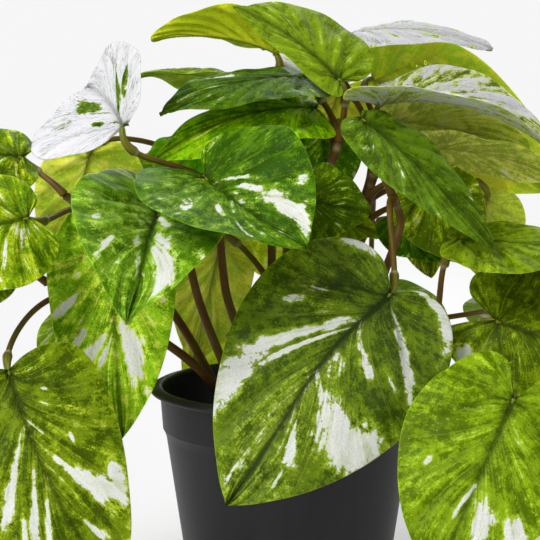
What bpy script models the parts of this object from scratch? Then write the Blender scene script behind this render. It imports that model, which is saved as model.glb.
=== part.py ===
"""Pothos (devil's ivy) in a black plastic nursery pot.

Pot, potting soil, twelve vines with their leaf stalks, and forty-six heart-shaped leaves.
The origin is the centre of the pot's base, +Z is up, and the plant's front faces -Y.
Tables are in millimetres and degrees; the meshes are in metres.
"""
import math

import bmesh
import bpy
import numpy as np
from mathutils import Vector

MM = 0.001
GAP = 0.3                      # clearance between pieces that touch

# Pot
RIM_RADIUS = 60.0
POT_HEIGHT = 105.0
COLLAR_TOP_RADIUS = 55.8
COLLAR_FOOT_RADIUS = 54.5
COLLAR_FOOT_HEIGHT = 86.5
BODY_TOP_RADIUS = 53.1
BODY_TOP_HEIGHT = 83.0
BASE_RADIUS = 41.0
WALL = 1.4
FLOOR = 2.0
LIP_DEPTH = 4.5
ROUND_SEGMENTS = 44

# Soil
SOIL_HEIGHT = 88.0
SOIL_CROWN = 1.5               # how much higher the middle is than the edge
SOIL_SHOULDER_RADIUS = 34.0    # where the crown starts to fall away
SOCKET_DEPTH = 12.0            # how deep a vine is set into the soil
SOCKET_REACH = 5.0             # how far a socket cutter stands above the soil
SOCKET_SIDES = 12

# Leaves and stalks
LEAF_THICKNESS = 0.5
LEAF_ROWS = 7
LEAF_COLUMNS = 3               # on each side of the midrib
VINE_RADIUS = 2.1
VINE_TOP_RADIUS = 1.6
VINE_UPRIGHT = 3.0             # straight length of a vine above the soil
VINE_STEPS = 2                 # rings between two points of a route
VINE_SIDES = 8
STALK_RADIUS = 1.3
COLLAR_RADIUS = 2.3            # the swollen joint below a leaf
COLLAR_BELOW_LEAF = 13.0
STALK_END_RADIUS = 1.0
STALK_STEPS = 6
STALK_SIDES = 6
STALK_BEHIND_NOTCH = 0.6       # how far short of the blade a stalk stops
LEAST_PLAIN_STALK = 0.55       # share of a short stalk that is below its collar
SHARP_EDGE = 40                # degrees

# Right half of a leaf from its notch round to its tip: across in half widths, along in lengths
HALF_OUTLINE = [(0.0, 0.0), (0.24, -0.085), (0.56, -0.085), (0.85, 0.02), (1.0, 0.19), (0.98, 0.38),
                (0.83, 0.58), (0.57, 0.77), (0.24, 0.92), (0.0, 1.0)]

# Each vine: the place where it stands in the soil, then the points it passes through
VINES = {
    "vine_left_low": [(-24, -14), (-35, -22, 112), (-52, -25, 127), (-76, -25, 142), (-101, -28, 153)],
    "vine_left_front": [(-16, -20), (-28, -24, 119), (-38, -26, 146), (-43, -28, 170), (-45, -34, 186)],
    "vine_left": [(-26, 2), (-44, -6, 128), (-64, -14, 158), (-80, -20, 176), (-93, -30, 190)],
    "vine_centre_left": [(-6, -14), (-16, -18, 118), (-26, -22, 146), (-29, -22, 172), (-32, -26, 194)],
    "vine_centre": [(3, -6), (6, -12, 135), (13, -16, 185), (21, -15, 211)],
    "vine_centre_back": [(-5, 10), (-7, 14, 140), (-7, 17, 195), (-5, 18, 226)],
    "vine_right_front": [(16, -16), (30, -28, 128), (40, -34, 160), (46, -30, 178), (42, -32, 190)],
    "vine_right_low": [(26, -2), (40, -20, 118), (54, -36, 132), (66, -42, 135)],
    "vine_right": [(14, 8), (26, 8, 138), (34, 6, 182), (38, -2, 204)],
    "vine_back_right": [(12, 24), (24, 30, 132), (34, 28, 182), (40, 26, 208)],
    "vine_back_left": [(-16, 20), (-28, 30, 130), (-34, 34, 172), (-34, 32, 200)],
    "vine_back": [(-2, 28), (-2, 38, 124), (0, 44, 168), (0, 44, 208)],
}


def leaf(vine, along, base, tip, face, width, arch=25, fold=(0, 0), curl=-12, twist=0, sway=0, lobe=1.0,
         wave=1.0, halves=(1, 1), stalk=0.35):
    """One leaf: its vine and how far up it the stalk starts, where the blade starts and ends, the
    way its upper face looks, and how the blade bends.

    arch bends the midrib; fold lifts the left and right halves; curl bends them towards their
    margins; twist turns the blade from base to tip; sway bows the midrib sideways; lobe scales
    the back lobes; wave ripples the margin; halves scales the left and right halves' widths; stalk
    sets how boldly the stalk bows.
    """
    return dict(vine=vine, along=along, base=base, tip=tip, face=face, width=width, arch=arch,
                fold=fold, curl=curl, twist=twist, sway=sway, lobe=lobe, wave=wave,
                halves=halves, stalk=stalk)


LEAVES = [
    # Front: the big leaf over the pot, then the two beside it
    leaf("vine_right_front", 0.95, (40, -66, 154), (-25, -98, 76), (0.1, -1, 0.35), 90, arch=22, curl=-14,
         halves=(0.88, 1)),
    leaf("vine_right_low", 0.30, (85, -98, 118), (53, -124, 53), (-0.1, -1, 0.45), 70, arch=30, lobe=2.2,
         stalk=0.15),
    leaf("vine_right_low", 0.99, (83, -54, 141), (156, -68, 110), (0.1, -1, 0.5), 74, fold=(-8, -12),
         lobe=2.2, halves=(1, 0.85)),
    leaf("vine_left_low", 0.88, (-110, -82, 126), (-66, -108, 42), (0.1, -1, 0.35), 68, arch=24, sway=4,
         lobe=0.4),
    leaf("vine_left_front", 0.90, (-72, -44, 180), (-67, -66, 95), (-0.15, -1, 0.25), 60, fold=(-8, -8),
         halves=(0.85, 1)),
    leaf("vine_left_front", 1.0, (-53, -48, 184), (-61, -114, 149), (0.18, -1.0, 0.62), 76, arch=24,
         fold=(46, 27), curl=-23, sway=-1, lobe=3.6, halves=(0.92, 0.95)),
    leaf("vine_centre_left", 1.0, (-34, -56, 199), (6, -97, 175), (-0.45, -1.0, 0.97), 86, arch=25,
         fold=(7, 46), curl=-12, sway=2, lobe=2.4, halves=(0.85, 0.89)),
    # Crown: leaves that arch to the left behind the front ones
    leaf("vine_centre", 0.93, (12, -4, 224), (-58, -33, 202), (-0.1, -0.7, 1), 50, arch=56, lobe=0.3,
         halves=(0.9, 0.5)),
    leaf("vine_centre", 1.0, (8, -4, 237), (-53, -36, 223), (-0.1, -0.35, 1), 46, arch=35),
    leaf("vine_centre_back", 0.95, (-16, 44, 232), (-70, 23, 236), (-0.02, -0.18, 1.0), 52, arch=29,
         fold=(25, -6), curl=-30, sway=3, lobe=0.4, halves=(1.05, 1.15)),
    leaf("vine_centre_back", 1.0, (-5, 28, 248), (-61, 38, 253), (0, 0.1, 1), 54, arch=35, fold=(50, 5),
         halves=(0.66, 1)),
    leaf("vine_centre", 1.0, (22, -22, 236), (-24, 8, 267), (0.2, -0.9, 0.8), 54, arch=40, fold=(-15, -5),
         lobe=0.7, halves=(0.35, 1)),
    # Crown: leaves that arch to the right
    leaf("vine_right", 1.0, (24, 26, 255), (86, -5, 249), (0.1, -0.3, 1), 44, arch=35),
    leaf("vine_back_right", 1.0, (38, 48, 236), (118, 45, 184), (0.4, 0.9, 0.5), 78, arch=35),
    leaf("vine_right", 0.97, (37, -20, 227), (106, -40, 209), (0, -0.6, 1), 56, arch=60, fold=(5, 48)),
    leaf("vine_right", 0.92, (42, 2, 219), (107, 12, 204), (0.1, 0.7, 0.8), 46, arch=30),
    leaf("vine_right", 0.85, (59, -2, 208), (119, -14, 193), (0, 0.5, 1), 46, arch=30),
    leaf("vine_back_right", 0.85, (56, 38, 204), (101, 42, 168), (0.4, 0.9, 0.5), 50),
    leaf("vine_right_front", 1.0, (29, -42, 222), (80, -68, 172), (0.15, -0.8, 0.5), 46, arch=30,
         fold=(-20, -10), lobe=0.6, halves=(0.75, 0.62)),
    leaf("vine_right", 0.75, (56, -18, 194), (78, -26, 160), (0, -0.8, 0.5), 40),
    leaf("vine_right_low", 0.80, (68, -48, 173), (127, -60, 166), (0, -0.3, 1), 50, arch=20),
    leaf("vine_back_right", 0.70, (88, 22, 184), (86, 16, 148), (0.1, 0.9, 0.3), 34),
    leaf("vine_right", 0.60, (44, -6, 178), (68, -14, 160), (0.2, -0.8, 0.6), 28),
    leaf("vine_right", 0.65, (57, 10, 180), (62, 8, 150), (0.2, -0.9, 0.4), 26),
    # Inner leaves around the middle
    leaf("vine_centre", 0.80, (-1, -34, 188), (33, -42, 183), (0.1, -0.8, 0.7), 44),
    leaf("vine_centre", 0.65, (21, -4, 176), (40, -8, 170), (0.1, -0.5, 0.9), 22),
    leaf("vine_centre_left", 0.97, (-67, -46, 219), (-86, 2, 233), (0.3, -0.15, 1), 76, fold=(-35, 95),
         lobe=1.4, halves=(1, 0.74)),
    leaf("vine_left", 1.0, (-110, -25, 205), (-165, -38, 204), (-0.2, -0.6, 0.8), 44),
    leaf("vine_left", 0.85, (-103, -66, 184), (-156, -85, 166), (-0.1, -0.8, 0.6), 58, lobe=1.3),
    leaf("vine_left_low", 1.0, (-118, -48, 166), (-158, -60, 150), (-0.1, -0.7, 0.7), 44),
    leaf("vine_back_left", 0.90, (-88, 22, 203), (-100, 8, 150), (-0.1, 0.9, 0.3), 62, lobe=1.6,
         halves=(0.62, 1)),
    leaf("vine_centre_back", 0.45, (-30, 18, 166), (-42, 14, 110), (0, 0.9, 0.2), 36),
    leaf("vine_centre_left", 0.88, (-31, -8, 208), (-62, -12, 202), (0, -0.5, 1), 38),
    leaf("vine_centre_back", 0.80, (14, 10, 216), (18, 2, 182), (0.1, -0.9, 0.3), 34),
    leaf("vine_centre_back", 0.98, (14, 54, 230), (6, 68, 258), (0.1, -0.8, 0.4), 36),
    leaf("vine_back_right", 0.95, (22, 36, 230), (12, 34, 198), (0, 0.9, 0.3), 30),
    # Back of the plant
    leaf("vine_back", 0.80, (-2, 64, 184), (6, 113, 128), (0, 0.8, 0.7), 70),
    leaf("vine_back_left", 0.80, (-44, 56, 178), (-72, 108, 116), (-0.4, 0.8, 0.6), 66),
    leaf("vine_back_right", 0.75, (46, 88, 134), (60, 118, 66), (0.4, 0.8, 0.6), 66),
    leaf("vine_back", 0.45, (-16, 66, 122), (-24, 100, 46), (-0.1, 1, 0.4), 64),
    leaf("vine_back", 0.40, (32, 62, 116), (42, 92, 42), (0.3, 1, 0.4), 58),
    leaf("vine_back_left", 0.50, (-74, 28, 146), (-108, 66, 88), (-0.6, 0.7, 0.6), 62),
    leaf("vine_back_right", 0.25, (98, 26, 136), (128, 60, 86), (0.6, 0.7, 0.6), 56),
    leaf("vine_back", 0.97, (-4, 76, 222), (-14, 124, 200), (0, 0.3, 1), 60, arch=40),
    leaf("vine_back_left", 1.0, (-46, 60, 201), (-98, 90, 168), (-0.3, 0.5, 1), 54, arch=28),
    leaf("vine_back", 0.84, (52, 92, 206), (92, 122, 180), (0.3, 0.5, 1), 54, arch=35),
]


def clear_scene():
    for old in list(bpy.data.objects):
        bpy.data.objects.remove(old, do_unlink=True)


def material(name, colour, roughness):
    made = bpy.data.materials.new(name)
    made.use_nodes = True
    shader = made.node_tree.nodes["Principled BSDF"]
    shader.inputs["Base Color"].default_value = (*colour, 1.0)
    shader.inputs["Roughness"].default_value = roughness
    shader.inputs["Metallic"].default_value = 0.0
    return made


def add_object(name, points, faces, finish):
    """A mesh object from points in millimetres, its faces turned outwards."""
    mesh = bpy.data.meshes.new(name)
    mesh.from_pydata([tuple(float(c) * MM for c in p) for p in points], [], faces)
    work = bmesh.new()
    work.from_mesh(mesh)
    bmesh.ops.recalc_face_normals(work, faces=work.faces)
    work.to_mesh(mesh)
    work.free()
    made = bpy.data.objects.new(name, mesh)
    bpy.context.scene.collection.objects.link(made)
    if finish:
        mesh.materials.append(finish)
        mesh.shade_smooth()
        mesh.set_sharp_from_angle(angle=math.radians(SHARP_EDGE))
    return made


def turned(name, profile, finish):
    """A round solid whose profile (radius, height) runs from the axis round to the axis."""
    points = [(0, 0, profile[0][1])]
    rings = profile[1:-1]
    for radius, height in rings:
        for k in range(ROUND_SEGMENTS):
            turn = 2 * math.pi * k / ROUND_SEGMENTS
            points.append((radius * math.cos(turn), radius * math.sin(turn), height))
    points.append((0, 0, profile[-1][1]))
    faces = []
    last = len(points) - 1
    for k in range(ROUND_SEGMENTS):
        after = (k + 1) % ROUND_SEGMENTS
        faces.append((0, 1 + k, 1 + after))
        for ring in range(len(rings) - 1):
            near = 1 + ring * ROUND_SEGMENTS
            far = near + ROUND_SEGMENTS
            faces.append((near + k, far + k, far + after, near + after))
        top = 1 + (len(rings) - 1) * ROUND_SEGMENTS
        faces.append((last, top + after, top + k))
    return add_object(name, points, faces, finish)


def wall_radius(height):
    """Outer radius of the pot's tapered body."""
    return BASE_RADIUS + (BODY_TOP_RADIUS - BASE_RADIUS) * height / BODY_TOP_HEIGHT


def make_pot():
    lip_foot = POT_HEIGHT - LIP_DEPTH
    outside = [(0, 0), (BASE_RADIUS - 2, 0), (BASE_RADIUS, 1.5), (BODY_TOP_RADIUS, BODY_TOP_HEIGHT),
               (COLLAR_FOOT_RADIUS, COLLAR_FOOT_HEIGHT), (COLLAR_TOP_RADIUS, lip_foot),
               (RIM_RADIUS - 1.2, lip_foot + 0.6), (RIM_RADIUS, lip_foot + 2.2),
               (RIM_RADIUS - 0.8, POT_HEIGHT - 0.7), (RIM_RADIUS - 2.6, POT_HEIGHT)]
    inside = [(COLLAR_TOP_RADIUS - 0.4, POT_HEIGHT - 0.6), (COLLAR_TOP_RADIUS - WALL, POT_HEIGHT - 3),
              (COLLAR_FOOT_RADIUS - WALL, COLLAR_FOOT_HEIGHT), (BODY_TOP_RADIUS - WALL, BODY_TOP_HEIGHT),
              (wall_radius(FLOOR) - WALL, FLOOR), (0, FLOOR)]
    return turned("pot", outside + inside, material("black_plastic", (0.012, 0.012, 0.013), 0.4))


def soil_level(x, y):
    share = math.hypot(x, y) / BODY_TOP_RADIUS
    return SOIL_HEIGHT + SOIL_CROWN * (1 - share * share)


def make_soil():
    """A plug of soil that fills the pot, with a socket for each vine."""
    bottom = FLOOR + GAP
    edge = COLLAR_FOOT_RADIUS - WALL - GAP
    shoulder = SOIL_SHOULDER_RADIUS
    profile = [(0, bottom), (wall_radius(bottom) - WALL - GAP, bottom),
               (BODY_TOP_RADIUS - WALL - GAP, BODY_TOP_HEIGHT), (edge, COLLAR_FOOT_HEIGHT),
               (edge, soil_level(edge, 0)), (shoulder, soil_level(shoulder, 0)), (0, soil_level(0, 0))]
    soil = turned("soil", profile, material("potting_soil", (0.03, 0.02, 0.013), 0.95))
    for name, route in VINES.items():
        x, y = route[0]
        foot = Vector((x, y, soil_level(x, y) - SOCKET_DEPTH - GAP))
        head = Vector((x, y, soil_level(x, y) + SOCKET_REACH))
        reach = VINE_RADIUS + 2 * GAP
        cutter = tube("socket_" + name, [foot, head], [reach, reach], SOCKET_SIDES, None)
        cutter.hide_render = True
        cutter.display_type = "WIRE"
        cut = soil.modifiers.new("cut_" + name, "BOOLEAN")
        cut.operation = "DIFFERENCE"
        cut.solver = "EXACT"
        cut.object = cutter
    return soil


def tube(name, path, radii, sides, finish):
    """A closed tube along a path, its rings carried along without spinning."""
    points = []
    side = None
    for k, centre in enumerate(path):
        ahead = (path[min(k + 1, len(path) - 1)] - path[max(k - 1, 0)]).normalized()
        if side is None:
            side = ahead.orthogonal().normalized()
        side = (side - ahead * side.dot(ahead)).normalized()
        other = ahead.cross(side)
        for n in range(sides):
            turn = 2 * math.pi * n / sides
            points.append(centre + (side * math.cos(turn) + other * math.sin(turn)) * radii[k])
    faces = [tuple(range(sides))]
    for k in range(len(path) - 1):
        for n in range(sides):
            after = (n + 1) % sides
            faces.append((k * sides + n, k * sides + after, (k + 1) * sides + after, (k + 1) * sides + n))
    faces.append(tuple(range((len(path) - 1) * sides, len(path) * sides)))
    return add_object(name, points, faces, finish)


def smooth_route(points, steps):
    """Points along a smooth curve through the given ones."""
    ends = [points[0] * 2 - points[1]] + list(points) + [points[-1] * 2 - points[-2]]
    route = []
    for a, b, c, d in zip(ends, ends[1:], ends[2:], ends[3:]):
        for k in range(steps):
            u = k / steps
            route.append(0.5 * (2 * b + (c - a) * u + (2 * a - 5 * b + 4 * c - d) * u * u
                                + (3 * b - a - 3 * c + d) * u ** 3))
    return route + [points[-1]]


def vine_route(name):
    foot, *rest = VINES[name]
    level = soil_level(*foot)
    start = [Vector((*foot, level - SOCKET_DEPTH)), Vector((*foot, level + VINE_UPRIGHT))]
    return [start[0]] + smooth_route([start[1]] + [Vector(p) for p in rest], VINE_STEPS)


def outline_at(share):
    """Half width and distance along at a share of the way round the margin, smoothly."""
    spots = np.linspace(0, 1, len(HALF_OUTLINE))
    table = np.array(HALF_OUTLINE)
    slopes = np.gradient(table, spots, axis=0)
    k = np.clip(np.searchsorted(spots, share, side="right") - 1, 0, len(spots) - 2)
    step = spots[1]
    u = ((share - spots[k]) / step)[..., None]
    return ((2 * u ** 3 - 3 * u ** 2 + 1) * table[k] + (u ** 3 - 2 * u ** 2 + u) * step * slopes[k]
            + (3 * u ** 2 - 2 * u ** 3) * table[k + 1] + (u ** 3 - u ** 2) * step * slopes[k + 1])


def leaf_frame(row):
    base, tip = np.array(row["base"], float), np.array(row["tip"], float)
    chord = np.linalg.norm(tip - base)
    ahead = (tip - base) / chord
    face = np.array(row["face"], float)
    face = face - ahead * face.dot(ahead)
    face /= np.linalg.norm(face)
    return base, chord, ahead, face, np.cross(ahead, face)


def blade(row, share, across):
    """Points and normals of the blade at a share from notch to tip (0 to 1) and across (-1 to 1)."""
    base, chord, ahead, face, right = leaf_frame(row)
    margin = outline_at(share)
    along_margin = np.where(margin[..., 1] < 0, margin[..., 1] * row["lobe"], margin[..., 1])
    midrib = share ** 1.4
    along = midrib + (along_margin - midrib) * np.abs(across) ** 1.25
    half = row["width"] / 2
    share_of_half = np.where(across < 0, row["halves"][0], row["halves"][1])
    out = np.abs(across) * margin[..., 0] * half * share_of_half
    # midrib: an arc over the chord
    bend = math.radians(max(row["arch"], 1))
    radius = chord / (2 * math.sin(bend / 2))
    slope = bend / 2 - bend * along
    forward = radius * (math.sin(bend / 2) - np.sin(slope))
    rise = radius * (np.cos(slope) - math.cos(bend / 2))
    # halves: folded at the midrib and rolled towards the margin
    fold = np.radians(np.where(across < 0, row["fold"][0], row["fold"][1]))
    roll = math.radians(row["curl"] if abs(row["curl"]) > 0.5 else 0.5) / half
    lean = fold + roll * out
    side = np.sign(across) * (np.sin(lean) - np.sin(fold)) / roll
    lift = (np.cos(fold) - np.cos(lean)) / roll
    lift = lift + row["wave"] * across ** 2 * np.sin(9 * along + 1.5 * np.sign(across))
    turn = math.radians(row["twist"]) * along
    side, lift = side * np.cos(turn) - lift * np.sin(turn), side * np.sin(turn) + lift * np.cos(turn)
    side = side + row["sway"] * np.sin(math.pi * np.clip(along, 0, 1))
    up = face * np.cos(slope)[..., None] - ahead * np.sin(slope)[..., None]
    points = (base + ahead * forward[..., None] + face * rise[..., None]
              + right * side[..., None] + up * lift[..., None])
    leaning = np.sign(across) * lean + turn
    normals = up * np.cos(leaning)[..., None] - right * np.sin(leaning)[..., None]
    return points, normals


def make_leaf(name, row, finish):
    """A thin blade whose upper and lower skins meet at the margin."""
    shares = np.linspace(0, 1, LEAF_ROWS + 1)[1:-1]
    columns = np.linspace(-1, 1, 2 * LEAF_COLUMNS + 1)
    share, across = np.meshgrid(shares, columns, indexing="ij")
    middle, normals = blade(row, share, across)
    ends, _ = blade(row, np.array([0.0, 1.0]), np.array([0.0, 0.0]))
    wide = len(columns)
    points = [ends[0], ends[1]]
    spot = {}
    for skin in (1, -1):
        for i in range(len(shares)):
            for j in range(wide):
                if j in (0, wide - 1):
                    if skin == 1:
                        spot[1, i, j] = spot[-1, i, j] = len(points)
                        points.append(middle[i, j])
                    continue
                spot[skin, i, j] = len(points)
                points.append(middle[i, j] + normals[i, j] * skin * LEAF_THICKNESS / 2)
    faces = []
    for skin in (1, -1):
        skin_faces = []
        for j in range(wide - 1):
            skin_faces.append((0, spot[skin, 0, j], spot[skin, 0, j + 1]))
            for i in range(len(shares) - 1):
                near, far = spot[skin, i, j], spot[skin, i + 1, j + 1]
                skin_faces.append((near, spot[skin, i + 1, j], far))
                skin_faces.append((near, far, spot[skin, i, j + 1]))
            end = len(shares) - 1
            skin_faces.append((1, spot[skin, end, j + 1], spot[skin, end, j]))
        faces += skin_faces if skin == 1 else [face[::-1] for face in skin_faces]
    return add_object(name, points, faces, finish)


def stalk_path(row, start, ahead):
    """A leaf stalk that leaves its vine at a slant and comes in under the blade's base."""
    ends, normals = blade(row, np.array([0.0, 0.03]), np.array([0.0, 0.0]))
    under = Vector(normals[0])
    forward = Vector(ends[1] - ends[0]).normalized()
    arrive = (forward * 0.75 + under * 0.65).normalized()
    clearance = LEAF_THICKNESS / 2 + GAP + STALK_END_RADIUS * 0.9
    end = Vector(ends[0]) - forward * STALK_BEHIND_NOTCH - under * clearance
    reach = (end - start).length * row["stalk"]
    leave = (ahead * 0.8 + (end - start).normalized() + Vector((0, 0, 0.4))).normalized()
    a, b = start + leave * reach, end - arrive * reach
    path = []
    for k in range(STALK_STEPS + 1):
        u = k / STALK_STEPS
        path.append(start * (1 - u) ** 3 + a * 3 * u * (1 - u) ** 2 + b * 3 * u * u * (1 - u) + end * u ** 3)
    return path


def make_vine(name, finish):
    """A vine and its leaf stalks, grown together as one body."""
    route = vine_route(name)
    last = len(route) - 1
    radii = [VINE_RADIUS + (VINE_TOP_RADIUS - VINE_RADIUS) * k / last for k in range(last + 1)]
    vine = tube(name, route, radii, VINE_SIDES, finish)
    stalks = bpy.data.collections.new(name + "_stalks")
    bpy.context.scene.collection.children.link(stalks)
    for number, row in enumerate(LEAVES, 1):
        if row["vine"] != name:
            continue
        spot = min(int(row["along"] * last), last - 1)
        share = row["along"] * last - spot
        start = route[spot].lerp(route[spot + 1], min(share, 0.98))
        ahead = (route[spot + 1] - route[spot]).normalized()
        path = stalk_path(row, start, ahead)
        length = sum((b - a).length for a, b in zip(path, path[1:]))
        swell = max(LEAST_PLAIN_STALK, 1 - COLLAR_BELOW_LEAF / length)
        widths = []
        for k in range(len(path)):
            u = k / (len(path) - 1)
            if u < swell:
                widths.append(STALK_RADIUS)
            else:
                rest = (u - swell) / (1 - swell)
                widths.append(COLLAR_RADIUS + (STALK_END_RADIUS - COLLAR_RADIUS) * rest)
        stalk = tube(f"stalk_{number:02d}", path, widths, STALK_SIDES, None)
        stalk.hide_render = True
        stalk.display_type = "WIRE"
        bpy.context.scene.collection.objects.unlink(stalk)
        stalks.objects.link(stalk)
    join = vine.modifiers.new("stalks", "BOOLEAN")
    join.operation = "UNION"
    join.solver = "EXACT"
    join.operand_type = "COLLECTION"
    join.collection = stalks
    return vine


def main():
    clear_scene()
    make_pot()
    make_soil()
    stem_finish = material("brown_green_stem", (0.13, 0.10, 0.03), 0.4)
    for name in VINES:
        make_vine(name, stem_finish)
    leaf_finish = material("variegated_leaf", (0.12, 0.30, 0.04), 0.38)
    for number, row in enumerate(LEAVES, 1):
        make_leaf(f"leaf_{number:02d}", row, leaf_finish)


main()
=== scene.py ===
"""A variegated pothos in a black plastic nursery pot, in the order that it is put together.

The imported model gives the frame; lengths in the tables below are millimetres.
"""
import math
import bpy
import numpy as np
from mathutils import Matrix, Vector


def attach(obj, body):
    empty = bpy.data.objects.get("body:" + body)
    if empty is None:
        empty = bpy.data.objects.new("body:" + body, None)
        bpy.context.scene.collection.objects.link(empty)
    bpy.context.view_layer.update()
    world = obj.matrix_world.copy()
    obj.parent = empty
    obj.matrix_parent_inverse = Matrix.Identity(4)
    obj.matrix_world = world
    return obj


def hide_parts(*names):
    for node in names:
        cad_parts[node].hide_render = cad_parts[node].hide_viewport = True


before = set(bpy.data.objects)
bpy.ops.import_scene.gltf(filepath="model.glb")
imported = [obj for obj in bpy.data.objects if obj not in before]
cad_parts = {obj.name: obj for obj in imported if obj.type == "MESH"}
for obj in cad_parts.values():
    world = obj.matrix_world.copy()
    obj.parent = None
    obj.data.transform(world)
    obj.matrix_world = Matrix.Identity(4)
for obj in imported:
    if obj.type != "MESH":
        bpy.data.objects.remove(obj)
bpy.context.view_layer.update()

# ---------------------------------------------------------------- camera, light and floor
# The stage: a long lens a little above the leaves, a large soft light high on the left, a weaker
# one on the right and a third behind, over a plain pale floor that fades into a white room.
MM = 0.001
LOOKS_DOWN = 7.39               # degrees below level
PLANT_MIDDLE = Vector((0, 0, 0.16))
camera = bpy.data.objects.new("camera", bpy.data.cameras.new("camera"))
bpy.context.scene.collection.objects.link(camera)
camera.data.sensor_width = 36
camera.data.lens = 122.7
camera.data.clip_end = 20
camera.location = (-0.008, -0.787, 0.2566)
camera.rotation_euler = (math.radians(90 - LOOKS_DOWN), 0, 0)
bpy.context.scene.camera = camera
bpy.context.scene.view_settings.view_transform = "Standard"


def softbox(name, place, size, watts):
    """A square area light that looks at the middle of the plant."""
    light = bpy.data.lights.new(name, "AREA")
    light.size = size
    light.energy = watts
    made = bpy.data.objects.new(name, light)
    bpy.context.scene.collection.objects.link(made)
    made.location = place
    made.rotation_euler = (PLANT_MIDDLE - made.location).to_track_quat("-Z", "Y").to_euler()


softbox("key_light", (-0.9, -0.9, 1.2), 0.8, 25)
softbox("fill_light", (1.3, -0.9, 0.7), 1.0, 6)
softbox("back_light", (0.2, 1.3, 1.0), 1.2, 14)


class Wire:
    """A node socket that takes part in sums, so that shader maths reads like maths."""

    def __init__(self, tree, socket):
        self.tree = tree
        self.socket = socket

    def node(self, kind, settings, inputs, output=0):
        """Adds any node: its settings first, then the value or link of each socket."""
        made = self.tree.nodes.new(kind)
        for name, value in settings.items():
            setattr(made, name, value)
        for name, value in inputs.items():
            if isinstance(value, Wire):
                self.tree.links.new(value.socket, made.inputs[name])
            elif isinstance(value, tuple) and made.inputs[name].type == "RGBA":
                made.inputs[name].default_value = (*value, 1)
            else:
                made.inputs[name].default_value = value
        return Wire(self.tree, made.outputs[output])

    def math(self, operation, *others):
        inputs = {0: self, **{k + 1: other for k, other in enumerate(others)}}
        return self.node("ShaderNodeMath", {"operation": operation}, inputs)

    def __add__(self, other):
        return self.math("ADD", other)

    def __radd__(self, other):
        return self.math("ADD", other)

    def __sub__(self, other):
        return self.math("SUBTRACT", other)

    def __rsub__(self, other):
        return self.node("ShaderNodeMath", {"operation": "SUBTRACT"}, {0: other, 1: self})

    def __mul__(self, other):
        return self.math("MULTIPLY", other)

    def __rmul__(self, other):
        return self.math("MULTIPLY", other)

    def __truediv__(self, other):
        return self.math("DIVIDE", other)

    def __abs__(self):
        return self.math("ABSOLUTE")

    def largest(self, other):
        return self.math("MAXIMUM", other)

    def smallest(self, other):
        return self.math("MINIMUM", other)

    def rise(self, low, high):
        """0 below low, 1 above high, smooth between."""
        return self.node("ShaderNodeMapRange", {"interpolation_type": "SMOOTHSTEP"},
                         {"Value": self, "From Min": low, "From Max": high})

    def mix(self, first, second):
        """The first colour where this is 0 and the second where it is 1."""
        return self.node("ShaderNodeMix", {"data_type": "RGBA"}, {0: self, 6: first, 7: second}, 2)

    def join(self, y, z):
        """A vector with this as its X."""
        return self.node("ShaderNodeCombineXYZ", {}, {"X": self, "Y": y, "Z": z})

    def part(self, axis):
        """One component of this vector."""
        return self.node("ShaderNodeSeparateXYZ", {}, {0: self}, axis)

    def noise(self, scale, detail=4, roughness=0.6):
        return self.node("ShaderNodeTexNoise", {},
                         {"Vector": self, "Scale": scale, "Detail": detail, "Roughness": roughness})


def new_material(name):
    """A material with an empty Principled shader, and a Wire to start its sums from."""
    material = bpy.data.materials.new(name)
    material.use_nodes = True
    shader = material.node_tree.nodes["Principled BSDF"]
    return material, shader, Wire(material.node_tree, None)


def connect(wire, socket):
    wire.tree.links.new(wire.socket, socket)


def bump(height, strength, distance):
    return height.node("ShaderNodeBump", {}, {"Height": height, "Strength": strength, "Distance": distance})


def add_mesh(name, points, faces, material):
    """A smooth-shaded mesh object from points in millimetres."""
    mesh = bpy.data.meshes.new(name)
    mesh.from_pydata((np.asarray(points) * MM).tolist(), [], faces)
    mesh.update()
    mesh.shade_smooth()
    mesh.materials.append(material)
    made = bpy.data.objects.new(name, mesh)
    bpy.context.scene.collection.objects.link(made)
    return made


FLOOR_RADIUS = 3000
FLOOR_CORNERS = 64
FADE_STARTS = 0.4               # metres from the pot
FADE_ENDS = 1.6
SEEN_WHITE = 0.925
ROOM_LIGHT = 0.36
floor_white, floor_shader, start = new_material("floor_white")
floor_shader.inputs["Base Color"].default_value = (0.76, 0.76, 0.765, 1)
floor_shader.inputs["Roughness"].default_value = 0.75
floor_place = start.node("ShaderNodeTexCoord", {}, {}, 3)
distance = floor_place.node("ShaderNodeVectorMath", {"operation": "LENGTH"}, {0: floor_place}, 1)
connect(1 - distance.rise(FADE_STARTS, FADE_ENDS), floor_shader.inputs["Alpha"])
turns = [k * 2 * math.pi / FLOOR_CORNERS for k in range(FLOOR_CORNERS)]
rim = [(FLOOR_RADIUS * math.cos(turn), FLOOR_RADIUS * math.sin(turn), 0) for turn in turns]
floor = add_mesh("floor", rim, [tuple(range(FLOOR_CORNERS))], floor_white)

room = bpy.data.worlds.new("white_room")
room.use_nodes = True
backdrop = room.node_tree.nodes["Background"]
backdrop.inputs["Color"].default_value = (1, 1, 1.005, 1)
seen = Wire(room.node_tree, None).node("ShaderNodeLightPath", {}, {}, "Is Camera Ray")
connect(seen * (SEEN_WHITE - ROOM_LIGHT) + ROOM_LIGHT, backdrop.inputs["Strength"])
bpy.context.scene.world = room

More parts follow.
